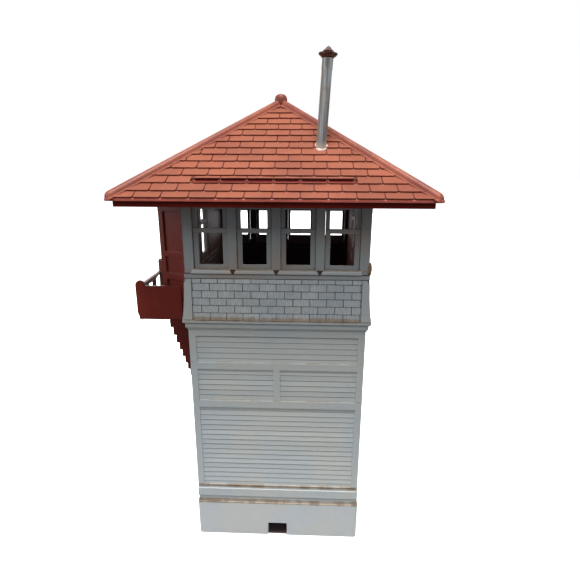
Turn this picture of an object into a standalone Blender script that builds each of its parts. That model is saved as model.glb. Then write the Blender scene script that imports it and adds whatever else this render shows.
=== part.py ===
"""A model railway signal tower: a square two-storey interlocking tower with a hipped roof and outside stairs.

Metres, +Z up. The front faces -Y, the landing and the stairs are on the -X side, and the origin is at the
middle of the underside of the whole object. Lengths below are in millimetres and are turned into metres
once, when a mesh is made.
"""

import math

import bmesh
import bpy
from mathutils import Matrix, Vector

MM = 0.001
GAP = 0.1

# Tower plan
HALF = 25.0
WALL_INSIDE = 23.4
TOWER_Y = -3.845

# Heights from the ground
PLINTH_TOP = 12.3
WALL_TOP = 70.9
BELT_STEP = 72.9
FLOOR_LEVEL = 74.0
SKIRT_TOP = 85.7
SILL_BELT_TOP = 87.1
WINDOW_HEAD = 105.0
FRAME_TOP = 106.2
SOFFIT_TOP = 107.3
EAVE_BOTTOM = 107.4
EAVE_TOP = 108.0
APEX = 133.4

# Plinth, belt course and shingled skirt
PLINTH_HALF = 25.4
PLINTH_INSIDE = 23.0
NOTCH_HALF = 3.0
NOTCH_HEIGHT = 4.6
BELT_HALF = 26.2
BELT_STEP_HALF = 25.6
SKIRT_FLARE = ((74.1, 26.0), (75.6, 25.75), (77.8, 25.5), (81.0, 25.3), (SKIRT_TOP, 25.1))

# Windows: posts across each side, and the frame in each bay
POST_PITCH = 11.75
POST_HALF = 1.175
CORNER_POST = 22.4
UNIT_HALF = 4.62
SILL_BOTTOM = SILL_BELT_TOP + 0.15

# The levels of a window's sill and rails, and half the width of its lower and its upper light
WINDOW = ((SILL_BOTTOM, 88.3, 89.5, 98.2, 99.4, 104.4, WINDOW_HEAD), 3.27, 3.5)
REAR_WINDOW = ((SILL_BOTTOM, 88.3, 90.4, 99.4, 100.6, 104.4, WINDOW_HEAD), 3.7, 3.85)

# Roof
ROOF_HALF = 38.6
ROOF_SLOPE = (APEX - EAVE_TOP) / ROOF_HALF
SHELL_DEPTH = 1.6
HIP_HALF = 1.15
HIP_TIP_SETBACK = 0.5
SLOT_HALF = 19.85
SLOT_WIDTH = 1.0
SLOT_UP = 7.4

# Smoke pipe, which leans towards +X
PIPE_RADIUS = 1.36
PIPE_FOOT = Vector((11.47, -20.46, 119.2))
PIPE_TOP = Vector((12.55, -20.46, 140.6))

# Landing, stairs and door on the -X side
LANDING_OUT = -39.0
LANDING_IN = -26.4
LANDING_FRONT = -25.0
LANDING_BACK = -3.5
DECK_TOP = 74.4
DECK_BOTTOM = 73.3
RISERS = 18
STEP_RISE = DECK_TOP / RISERS
STEP_RUN = 2.95
STEP_THICK = (0.9, 1.0)
STAIR_TOP_Y = -3.4
RAIL_WIDTH = 1.0
DOOR_OPEN = math.radians(65)
DOOR_HINGE = Vector((-25.0, -22.35, 0.0))
DOOR_HEAD = 105.2


def clear_scene():
    for obj in list(bpy.data.objects):
        bpy.data.objects.remove(obj, do_unlink=True)


def channel(value):
    """One 8-bit sRGB value as a linear one."""
    value /= 255
    return value / 12.92 if value <= 0.04045 else ((value + 0.055) / 1.055) ** 2.4


def material(name, rgb, roughness):
    made = bpy.data.materials.new(name)
    made.use_nodes = True
    shader = made.node_tree.nodes["Principled BSDF"]
    colour = tuple(channel(value) for value in rgb) + (1.0,)
    shader.inputs["Base Color"].default_value = colour
    shader.inputs["Roughness"].default_value = roughness
    shader.inputs["Metallic"].default_value = 0.0
    made.diffuse_color = colour
    return made


def empty(name, parent=None, location=(0, 0, 0), turn=0.0):
    made = bpy.data.objects.new(name, None)
    bpy.context.scene.collection.objects.link(made)
    made.parent = parent
    made.location = Vector(location) * MM
    made.rotation_euler = (0, 0, turn)
    return made


def add(name, bm, parent, looks, smooth=False):
    """The object NAME from a bmesh in millimetres. LOOKS is its colour and its roughness."""
    bmesh.ops.recalc_face_normals(bm, faces=bm.faces)
    bmesh.ops.scale(bm, vec=(MM, MM, MM), verts=bm.verts)
    mesh = bpy.data.meshes.new(name)
    bm.to_mesh(mesh)
    bm.free()
    for polygon in mesh.polygons:
        polygon.use_smooth = smooth
    made = bpy.data.objects.new(name, mesh)
    bpy.context.scene.collection.objects.link(made)
    made.parent = parent
    mesh.materials.append(material(name, *looks))
    return made


def side_turn(side):
    return Matrix.Rotation({"front": 0, "right": 1, "rear": 2, "left": 3}[side] * math.pi / 2, 4, "Z")


def cells(name, xs, ys, zs, solid, parent, looks, side=None, mitres=(False, False)):
    """A solid made of the blocks (i, j, k) of a grid for which SOLID is true.

    With a SIDE, xs runs along that side of the tower, ys is the distance out from the middle of the tower,
    and MITRES cuts the first or last end at 45 degrees so that neighbouring sides meet at the corner.
    """
    bm = bmesh.new()
    corners = {}

    def corner(i, j, k):
        if (i, j, k) not in corners:
            x, y = xs[i], ys[j]
            if mitres[0] and i == 0:
                x = -(y - GAP)
            if mitres[1] and i == len(xs) - 1:
                x = y - GAP
            corners[i, j, k] = bm.verts.new((x, -y if side else y, zs[k]))
        return corners[i, j, k]

    def filled(i, j, k):
        inside = 0 <= i < len(xs) - 1 and 0 <= j < len(ys) - 1 and 0 <= k < len(zs) - 1
        return inside and bool(solid(i, j, k))

    walls = (
        ((-1, 0, 0), ((0, 0, 0), (0, 0, 1), (0, 1, 1), (0, 1, 0))),
        ((1, 0, 0), ((1, 0, 0), (1, 1, 0), (1, 1, 1), (1, 0, 1))),
        ((0, -1, 0), ((0, 0, 0), (1, 0, 0), (1, 0, 1), (0, 0, 1))),
        ((0, 1, 0), ((0, 1, 0), (0, 1, 1), (1, 1, 1), (1, 1, 0))),
        ((0, 0, -1), ((0, 0, 0), (0, 1, 0), (1, 1, 0), (1, 0, 0))),
        ((0, 0, 1), ((0, 0, 1), (1, 0, 1), (1, 1, 1), (0, 1, 1))),
    )
    for i in range(len(xs) - 1):
        for j in range(len(ys) - 1):
            for k in range(len(zs) - 1):
                if not filled(i, j, k):
                    continue
                for step, loop in walls:
                    if not filled(i + step[0], j + step[1], k + step[2]):
                        bm.faces.new([corner(i + a, j + b, k + c) for a, b, c in loop])
    if side:
        bmesh.ops.transform(bm, matrix=side_turn(side), verts=bm.verts)
    return add(name, bm, parent, looks)


def box(name, x, y, z, parent, looks):
    return cells(name, x, y, z, lambda i, j, k: True, parent, looks)


def side_loft(name, side, levels, inside, ends, parent, looks):
    """A moulding along one side whose outer face follows LEVELS, as (height, distance out). An end is a
    position along the side, or None for a 45 degree mitre."""
    bm = bmesh.new()
    loops = []
    for height, out in levels:
        plan = []
        for distance, order in ((out, (0, 1)), (inside, (1, 0))):
            for end in order:
                sign = (-1, 1)[end]
                along = sign * (distance - GAP) if ends[end] is None else ends[end]
                plan.append(bm.verts.new((along, -distance, height)))
        loops.append(plan)
    bm.faces.new(loops[0][::-1])
    bm.faces.new(loops[-1])
    for low, high in zip(loops, loops[1:]):
        for i in range(4):
            bm.faces.new((low[i], low[(i + 1) % 4], high[(i + 1) % 4], high[i]))
    bmesh.ops.transform(bm, matrix=side_turn(side), verts=bm.verts)
    return add(name, bm, parent, looks)


def extruded(name, outline, axis, low, high, parent, looks):
    """A flat outline drawn in the plane across AXIS ("x" or "y"), thickened from LOW to HIGH along it."""
    bm = bmesh.new()
    ends = []
    for level in (low, high):
        if axis == "x":
            ends.append([bm.verts.new((level, a, b)) for a, b in outline])
        else:
            ends.append([bm.verts.new((a, level, b)) for a, b in outline])
    bm.faces.new(ends[0])
    bm.faces.new(ends[1][::-1])
    for i in range(len(outline)):
        j = (i + 1) % len(outline)
        bm.faces.new((ends[0][i], ends[0][j], ends[1][j], ends[1][i]))
    return add(name, bm, parent, looks)


def rail_outline(start, end, top, thick, legs):
    """A handrail seen from the side, as one outline with its legs. TOP gives the height of its upper edge
    at a position, and LEGS are (front, back, foot height) in order from the start."""
    outline = [(start, top(start)), (end, top(end))]
    for front, back, foot in reversed(legs):
        if back < end:
            outline.append((back, top(back) - thick))
        outline.extend(((back, foot), (front, foot)))
        if front > start:
            outline.append((front, top(front) - thick))
    if legs[0][0] > start:
        outline.append((start, top(start) - thick))
    return outline


def turned(name, profile, parent, looks, steps=32, matrix=None):
    """A round solid from (radius, height) points whose first and last points are on the axis."""
    bm = bmesh.new()
    rings = []
    for radius, height in profile:
        if radius == 0:
            rings.append([bm.verts.new((0, 0, height))])
        else:
            angles = (2 * math.pi * i / steps for i in range(steps))
            rings.append([bm.verts.new((radius * math.cos(a), radius * math.sin(a), height)) for a in angles])
    for low, high in zip(rings, rings[1:]):
        for i in range(steps):
            j = (i + 1) % steps
            face = {low[i % len(low)]: 0, low[j % len(low)]: 0, high[j % len(high)]: 0, high[i % len(high)]: 0}
            bm.faces.new(list(face))
    if matrix:
        bmesh.ops.transform(bm, matrix=matrix, verts=bm.verts)
    return add(name, bm, parent, looks, smooth=True)


def cut(target, cutter):
    """Takes CUTTER's shape out of TARGET."""
    cutter.hide_render = True
    cutter.display_type = "WIRE"
    modifier = target.modifiers.new("cut", "BOOLEAN")
    modifier.operation = "DIFFERENCE"
    modifier.solver = "EXACT"
    modifier.object = cutter


def pyramid(name, half, base, slope, parent, looks, floor=None):
    """A square pyramid whose faces rise at SLOPE from the height BASE at HALF. FLOOR is its underside."""
    bm = bmesh.new()
    floor = base if floor is None else floor
    signs = ((-1, -1), (1, -1), (1, 1), (-1, 1))
    low = [bm.verts.new((half * x, half * y, floor)) for x, y in signs]
    eave = low if floor == base else [bm.verts.new((half * x, half * y, base)) for x, y in signs]
    tip = bm.verts.new((0, 0, base + half * slope))
    bm.faces.new(low[::-1])
    for i in range(4):
        j = (i + 1) % 4
        bm.faces.new((eave[i], eave[j], tip))
        if eave is not low:
            bm.faces.new((low[i], low[j], eave[j], eave[i]))
    return add(name, bm, parent, looks)


GREY = (150, 152, 147)
BLUE_GREY = (140, 146, 147)
TERRACOTTA = (184, 106, 88)
HIP_RED = (166, 90, 70)
MAROON = (74, 28, 26)
BROWN = (100, 46, 40)
PIPE_GREY = (149, 160, 163)
CAP_BROWN = (92, 62, 54)
WALL = (GREY, 0.5)
SHADED = (BLUE_GREY, 0.5)
ROOF = (TERRACOTTA, 0.45)
STAIR = (BROWN, 0.42)


def make_plinth(tower):
    xs = (-PLINTH_HALF, -PLINTH_INSIDE, -NOTCH_HALF, NOTCH_HALF, PLINTH_INSIDE, PLINTH_HALF)
    ys = (-PLINTH_HALF, -PLINTH_INSIDE, PLINTH_INSIDE, PLINTH_HALF)
    zs = (0, NOTCH_HEIGHT, PLINTH_TOP)

    def solid(i, j, k):
        room = 0 < i < 4 and j == 1
        notch = i == 2 and j == 0 and k == 0
        return not room and not notch

    plinth = cells("foundation", xs, ys, zs, solid, tower, WALL)
    bm = bmesh.new()
    bm.from_mesh(plinth.data)
    edge = PLINTH_HALF * MM - 1e-6
    corners = [e for e in bm.edges if all(abs(v.co.x) > edge and abs(v.co.y) > edge for v in e.verts)]
    bmesh.ops.bevel(bm, geom=corners, offset=0.8 * MM, segments=3, profile=0.5, affect="EDGES")
    bm.to_mesh(plinth.data)
    bm.free()


def make_lower_wall(tower, side):
    """One side of the lower storey: a board with a frame raised round four sunk panels."""
    stile, mullion = 23.05, 1.0
    xs = (-HALF, -stile, -mullion, mullion, stile, HALF)
    ys = (WALL_INSIDE, HALF - 0.5, HALF)
    zs = (PLINTH_TOP + GAP, 18.7, 46.1, 48.5, 58.5, 60.7, 68.9, WALL_TOP)

    def solid(i, j, k):
        wide_panel = k in (1, 5) and i in (1, 2, 3)
        narrow_panel = k == 3 and i in (1, 3)
        return j == 0 or not (wide_panel or narrow_panel)

    cells(side + "_wall", xs, ys, zs, solid, tower, WALL, side, (True, True))


def make_belt(tower):
    xs = (-BELT_HALF, -BELT_STEP_HALF, -WALL_INSIDE, WALL_INSIDE, BELT_STEP_HALF, BELT_HALF)
    zs = (WALL_TOP + GAP, BELT_STEP, FLOOR_LEVEL)

    def solid(i, j, k):
        middle = i == 2 and j == 2
        rim = i in (0, 4) or j in (0, 4)
        return not middle and not (k == 0 and rim)

    cells("belt_cornice", xs, xs, zs, solid, tower, WALL)
    inside = WALL_INSIDE - 2 * GAP
    box("operator_floor", (-inside, inside), (-inside, inside), (73.0, 74.1), tower, STAIR)


def make_skirts(tower, door_edge):
    belt = ((SKIRT_TOP + GAP, 25.25), (SILL_BELT_TOP, 25.25))
    for side in ("front", "right", "rear"):
        side_loft(side + "_skirt", side, SKIRT_FLARE, WALL_INSIDE, (None, None), tower, SHADED)
        side_loft(side + "_sill_belt", side, belt, WALL_INSIDE, (None, None), tower, WALL)
    side_loft("left_skirt", "left", SKIRT_FLARE, WALL_INSIDE, (None, door_edge[0]), tower, SHADED)
    side_loft("left_skirt_corner", "left", SKIRT_FLARE, WALL_INSIDE, (door_edge[1], None), tower, SHADED)
    side_loft("left_sill_belt", "left", belt, WALL_INSIDE, (None, door_edge[0]), tower, WALL)


def make_window_frame(tower, side, xs, posts, mitres):
    """The posts that stand on the sill belt, joined by a head."""
    zs = (SILL_BELT_TOP + GAP, WINDOW_HEAD + GAP, FRAME_TOP)
    cells(
        side + "_window_frame",
        xs,
        (WALL_INSIDE, HALF),
        zs,
        lambda i, j, k: k == 1 or i in posts,
        tower,
        WALL,
        side,
        mitres,
    )


def make_window(tower, name, side, middle, shape=WINDOW):
    """One double window with its sill, moulded in one piece."""
    zs, lower, upper = shape
    across = (-UNIT_HALF, -upper, -lower, lower, upper, UNIT_HALF)
    xs = tuple(middle + x for x in across)
    ys = (23.5, 24.2, 24.45, 25.25)

    def solid(i, j, k):
        if k == 0:
            return True
        if k == 3:
            return j < 2
        if j > 0:
            return False
        return k in (1, 5) or i in (0, 4) or (k == 2 and i in (1, 3))

    cells(name, xs, ys, zs, solid, tower, WALL, side)


def make_windows(tower):
    edges = [-HALF, -CORNER_POST]
    for post in (-POST_PITCH, 0.0, POST_PITCH):
        edges.extend((post - POST_HALF, post + POST_HALF))
    edges.extend((CORNER_POST, HALF))
    middles = [(edges[i] + edges[i + 1]) / 2 for i in (1, 3, 5, 7)]

    # The right side has a plain wall in its last bay
    for side, count in (("front", 4), ("right", 3), ("rear", 4)):
        plan = edges[:2 * count + 1] + [HALF]
        make_window_frame(tower, side, plan, range(0, 2 * count + 1, 2), (True, True))
        for n, middle in enumerate(middles[:count], 1):
            shape = REAR_WINDOW if side == "rear" else WINDOW
            make_window(tower, f"{side}_window_{n}", side, middle, shape)

    # The left side has one window, next to the doorway, and a plain wall behind it
    door_edge = edges[6] + GAP / 2 + POST_HALF
    plan = (-HALF, edges[5], edges[6], door_edge - GAP)
    make_window_frame(tower, "left", plan, (0, 2), (True, False))
    make_window(tower, "left_window", "left", middles[2])
    frame = (door_edge, edges[7], CORNER_POST, HALF)
    zs = (SKIRT_TOP + GAP, SILL_BELT_TOP + GAP, DOOR_HEAD, FRAME_TOP)

    def solid(i, j, k):
        return k == 2 or i == 2 or (k == 1 and i == 0)

    cells("door_frame", frame, (WALL_INSIDE, HALF), zs, solid, tower, WALL, "left", (False, True))
    make_skirts(tower, (edges[7], CORNER_POST + 0.05))


def make_door(tower):
    hinge = empty("door_axis", tower, DOOR_HINGE, DOOR_OPEN)
    ys = (0.1, 1.7, 7.6, 9.25)
    xs = (0.05, 0.5, 0.95)
    zs = (74.55, 76.0, 84.0, 86.0, 90.6, 92.1, 103.2, DOOR_HEAD - 0.2)
    cells(
        "door_leaf",
        xs,
        ys,
        zs,
        lambda i, j, k: i == 1 or j != 1 or k not in (1, 3, 5),
        hinge,
        STAIR,
    )


def make_landing(tower):
    out, edge = LANDING_OUT, LANDING_IN
    deck_y = (LANDING_FRONT + 0.9, LANDING_BACK)
    box("landing_deck", (out, edge), deck_y, (DECK_BOTTOM, DECK_TOP), tower, STAIR)

    low, top, knob, round_by = 73.8, 83.4, 1.3, 2.0
    outline = [(edge, top), (out + 2 * knob, top)]
    for n in range(9):
        angle = math.pi * n / 8
        outline.append((out + knob + knob * math.cos(angle), top + 0.2 + knob * math.sin(angle)))
    for n in range(6):
        angle = math.pi + math.pi / 2 * n / 5
        outline.append((out + round_by + round_by * math.cos(angle), low + round_by + round_by * math.sin(angle)))
    outline.append((edge, low))
    extruded("landing_apron", outline, "y", LANDING_FRONT, LANDING_FRONT + 0.8, tower, STAIR)

    foot = DECK_TOP + GAP
    legs = ((-24.0, -22.9, foot), (-18.0, -17.1, foot), (-11.8, -10.9, foot))
    outline = rail_outline(-24.0, -5.2, lambda y: 83.0, 1.2, legs)
    extruded("landing_side_rail", outline, "x", out, out + RAIL_WIDTH, tower, STAIR)

    newel = ((-5.1, foot), (-3.6, foot), (-3.6, 86.2), (-4.35, 86.8), (-5.1, 86.2))
    extruded("landing_newel", newel, "x", out, out + 1.5, tower, STAIR)


def make_stairs(tower):
    """The flight is one folded slab of treads and risers, which goes down towards +Y."""
    back, down = STEP_THICK
    outline = [(STAIR_TOP_Y - back, DECK_BOTTOM - GAP), (STAIR_TOP_Y, DECK_BOTTOM - GAP)]
    for n in range(1, RISERS):
        y = STAIR_TOP_Y + (n - 1) * STEP_RUN
        z = DECK_TOP - n * STEP_RISE
        outline.extend(((y, z), (y + STEP_RUN, z)))
    foot = STAIR_TOP_Y + (RISERS - 1) * STEP_RUN
    outline.extend(((foot, 0), (foot - back, 0)))
    for n in range(RISERS - 1, 0, -1):
        y = STAIR_TOP_Y + n * STEP_RUN - back
        z = DECK_TOP - n * STEP_RISE - down
        outline.extend(((y, z), (y - STEP_RUN, z)))
    extruded("stair_flight", outline, "x", LANDING_OUT, LANDING_IN, tower, STAIR)

    slope = STEP_RISE / STEP_RUN
    start = LANDING_BACK + 0.05

    def top(y):
        return 84.0 - (y - start) * slope

    legs = []
    for n in (5, 11, 17):
        front = STAIR_TOP_Y + (n - 1) * STEP_RUN + 1.2
        legs.append((front, front + 1.1, DECK_TOP - n * STEP_RISE + GAP))
    outline = rail_outline(start, legs[-1][1], top, 1.6, legs)
    extruded("stair_handrail", outline, "x", LANDING_OUT, LANDING_OUT + RAIL_WIDTH, tower, STAIR)


def make_roof_shell(roof):
    shell = pyramid("roof_shell", ROOF_HALF, EAVE_TOP, ROOF_SLOPE, roof, ROOF, EAVE_BOTTOM)
    attic_floor = EAVE_TOP - SHELL_DEPTH - 4 * ROOF_SLOPE
    inside = pyramid("attic_cutter", ROOF_HALF + 4, attic_floor, ROOF_SLOPE, roof, ROOF)
    cut(shell, inside)

    angle = math.atan(ROOF_SLOPE)
    middle = Vector((0, -ROOF_HALF + SLOT_UP * math.cos(angle), EAVE_TOP + SLOT_UP * math.sin(angle)))
    slot = box(
        "slot_cutter",
        (-SLOT_HALF, SLOT_HALF),
        (-SLOT_WIDTH / 2, SLOT_WIDTH / 2),
        (-0.6, 3.0),
        roof,
        ROOF,
    )
    slot.location = middle * MM
    slot.rotation_euler = (angle, 0, 0)
    cut(shell, slot)


def make_hip_cap(name, roof, sign_x, sign_y):
    """A ridge roll that lies along one hip, from the eave corner to the finial."""
    section = (
        (-HIP_HALF, -0.45), (0, 0.08), (HIP_HALF, -0.45), (HIP_HALF, -0.1),
        (1.0, 0.5), (0.6, 1.0), (0, 1.2), (-0.6, 1.0), (-1.0, 0.5), (-HIP_HALF, -0.1),
    )
    along = Vector((sign_x, sign_y)).normalized()
    across = Vector((-along.y, along.x))
    bm = bmesh.new()
    ends = []
    for distance in (ROOF_HALF * math.sqrt(2) - HIP_TIP_SETBACK, 1.95):
        ridge = APEX - ROOF_SLOPE * distance / math.sqrt(2)
        loop = []
        for side, height in section:
            plan = along * distance + across * side
            loop.append(bm.verts.new((plan.x, plan.y, ridge + height)))
        ends.append(loop)
    bm.faces.new(ends[0])
    bm.faces.new(ends[1][::-1])
    for i in range(len(section)):
        j = (i + 1) % len(section)
        bm.faces.new((ends[0][i], ends[0][j], ends[1][j], ends[1][i]))
    add(name, bm, roof, (HIP_RED, 0.4))


def make_roof(tower):
    roof = empty("roof_axis", tower)
    make_roof_shell(roof)

    out, fascia_in = 37.3, 36.3
    xs = (-out, -fascia_in, fascia_in, out)
    cells(
        "roof_fascia",
        xs,
        xs,
        (106.0, SOFFIT_TOP),
        lambda i, j, k: not (i == 1 and j == 1),
        roof,
        (MAROON, 0.4),
    )

    rim_out, rim_in, soffit = WALL_INSIDE - 0.2, 22.0, fascia_in - GAP
    xs = (-soffit, -rim_out, -rim_in, rim_in, rim_out, soffit)

    def solid(i, j, k):
        room = i == 2 and j == 2
        inner = 0 < i < 4 and 0 < j < 4
        return not room and (k == 1 or inner)

    cells("roof_soffit", xs, xs, (104.9, FRAME_TOP + 0.15, SOFFIT_TOP), solid, roof, (MAROON, 0.45))

    corners = {"front_left": (-1, -1), "front_right": (1, -1), "rear_right": (1, 1), "rear_left": (-1, 1)}
    for name, signs in corners.items():
        make_hip_cap("hip_cap_" + name, roof, *signs)

    clearance = pyramid("roof_clearance", ROOF_HALF, EAVE_TOP + GAP, ROOF_SLOPE, roof, ROOF, 90.0)
    profile = (
        (0, 131.9), (1.55, 131.9), (1.8, 132.5), (1.83, 133.4),
        (1.8, 134.3), (1.55, 135.0), (1.15, 135.4), (0.6, 135.6), (0, 135.65),
    )
    cut(turned("roof_finial", profile, roof, (HIP_RED, 0.35)), clearance)

    lean = (PIPE_TOP - PIPE_FOOT).to_track_quat("Z", "Y").to_matrix().to_4x4()
    at_top = Matrix.Translation(PIPE_TOP) @ lean
    length = (PIPE_TOP - PIPE_FOOT).length + 3
    profile = ((0, -length), (PIPE_RADIUS, -length), (PIPE_RADIUS, 0), (0, 0))
    cut(turned("smoke_pipe", profile, roof, (PIPE_GREY, 0.4), 24, at_top), clearance)
    profile = (
        (0, 0.1), (1.4, 0.1), (2.35, 0.95), (2.35, 1.2), (2.05, 1.2), (1.2, 0.55),
        (0.45, 0.55), (0.45, 1.45), (1.35, 1.5), (1.35, 1.7), (0, 2.75),
    )
    turned("smoke_pipe_cap", profile, roof, (CAP_BROWN, 0.45), 24, at_top)


def main():
    clear_scene()
    tower = empty("tower_axis", None, (0, TOWER_Y, 0))
    make_plinth(tower)
    for side in ("front", "right", "rear", "left"):
        make_lower_wall(tower, side)
    make_belt(tower)
    make_windows(tower)
    make_door(tower)
    make_landing(tower)
    make_stairs(tower)
    make_roof(tower)


main()
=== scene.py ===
"""The looks of a model railway signal tower: a moulded plastic kit, put together and weathered."""

import math
import random

import bmesh
import bpy
from mathutils import Matrix, Vector


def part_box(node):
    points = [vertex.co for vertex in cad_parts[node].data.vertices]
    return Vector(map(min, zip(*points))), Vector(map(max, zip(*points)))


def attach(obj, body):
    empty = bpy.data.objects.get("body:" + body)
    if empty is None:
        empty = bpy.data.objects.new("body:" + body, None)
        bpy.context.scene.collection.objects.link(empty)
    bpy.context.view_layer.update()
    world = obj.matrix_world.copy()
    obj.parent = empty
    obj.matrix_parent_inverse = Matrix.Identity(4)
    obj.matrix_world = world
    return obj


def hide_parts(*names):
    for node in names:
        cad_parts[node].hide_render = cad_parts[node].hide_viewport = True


MM = 0.001
# Left open at a mitred corner, so that two mouldings never touch
SEAM = 0.03
SIDES = ("front", "right", "rear", "left")

# Clapboards and the frame round them
CLAP = 1.6877
CLAP_TOP = 67.0
STILE = 23.05
PANEL_LEVELS = (18.7, 46.1, 48.5, 58.5, 60.7, 68.9)

# Shingles of the flared skirt
SHINGLE = 4.58
SHINGLE_ROW = 2.08
SHINGLE_ROWS = 6
SHINGLES_EACH_WAY = 8
CORNER_BOARD = 23.3

# Windows, and the joints above and below the ledge under them
POST_PITCH = 11.75
DOORWAY = (12.925, 22.45)
LEDGE_JOINTS = (85.78, 87.16)

# Roof tiles, and the slot through one of their courses
TILE = 6.4
TILE_ROW = 3.055
TILE_START = -0.32
SLOT_UP = 7.4
SLOT_HALF = 19.85
SLOT_ROW = 2
SLOT_BELOW = 1.42
SLOT_ABOVE = 1.12
HIP_CLEARANCE = 0.75
HIPS = {"front_left": (-1, -1), "front_right": (1, -1), "rear_right": (1, 1), "rear_left": (-1, 1)}

# Metres from the tower to each light
LIGHT_DISTANCE = 0.9

# Colours as 8-bit sRGB
GREY = (182, 185, 182)
GREY_COOL = (176, 183, 186)
TILE_RED = (131, 73, 53)
SOOT = (58, 36, 32)
DIRT_AND_SHADE = (84, 68, 58)
PALE_DIRT_AND_SHADE = (156, 143, 128)
GLUE = (146, 116, 90)
INSIDE = (104, 60, 56)
INSIDE_LIT = (190, 112, 106)
INSIDE_SHADE = (10, 8, 8)
COURSE_GRIME_AND_SHADE = (74, 74, 74)
DARK_JOINT_AND_SHADE = (46, 42, 40)
SPECK = (92, 80, 72)
RED_GRIME_AND_SHADE = (58, 14, 10)
RED_POWDER = (190, 140, 108)
UNDER_TILES_SHADE = (84, 30, 24)

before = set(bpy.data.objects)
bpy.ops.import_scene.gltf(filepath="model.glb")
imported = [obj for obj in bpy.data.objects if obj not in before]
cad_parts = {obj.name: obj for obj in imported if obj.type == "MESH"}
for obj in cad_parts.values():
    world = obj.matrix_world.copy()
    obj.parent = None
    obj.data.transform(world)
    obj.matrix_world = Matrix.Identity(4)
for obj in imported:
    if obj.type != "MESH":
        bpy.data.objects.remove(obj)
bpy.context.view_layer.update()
dice = random.Random(11)


def millimetres(node):
    low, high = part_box(node)
    return low / MM, high / MM


PLINTH_LOW, PLINTH_HIGH = millimetres("foundation")
WALL_LOW, WALL_HIGH = millimetres("front_wall")
SKIRT_LOW, SKIRT_HIGH = millimetres("front_skirt")
ROOF_LOW, ROOF_HIGH = millimetres("roof_shell")
BELT_LOW, BELT_HIGH = millimetres("belt_cornice")
TOWER_Y = (PLINTH_LOW.y + PLINTH_HIGH.y) / 2
HALF = TOWER_Y - WALL_LOW.y
INSIDE_HALF = TOWER_Y - WALL_HIGH.y
ROOF_HALF = ROOF_HIGH.x
EAVE = ROOF_LOW.z + 0.6
APEX = ROOF_HIGH.z
ROOF_ANGLE = math.atan2(APEX - EAVE, ROOF_HALF)


# ---------------------------------------------------------------- materials


def colour(rgb):
    """An 8-bit sRGB colour as a linear one."""
    parts = [value / 255 for value in rgb]
    return [p / 12.92 if p <= 0.04045 else ((p + 0.055) / 1.055) ** 2.4 for p in parts] + [1.0]


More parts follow.
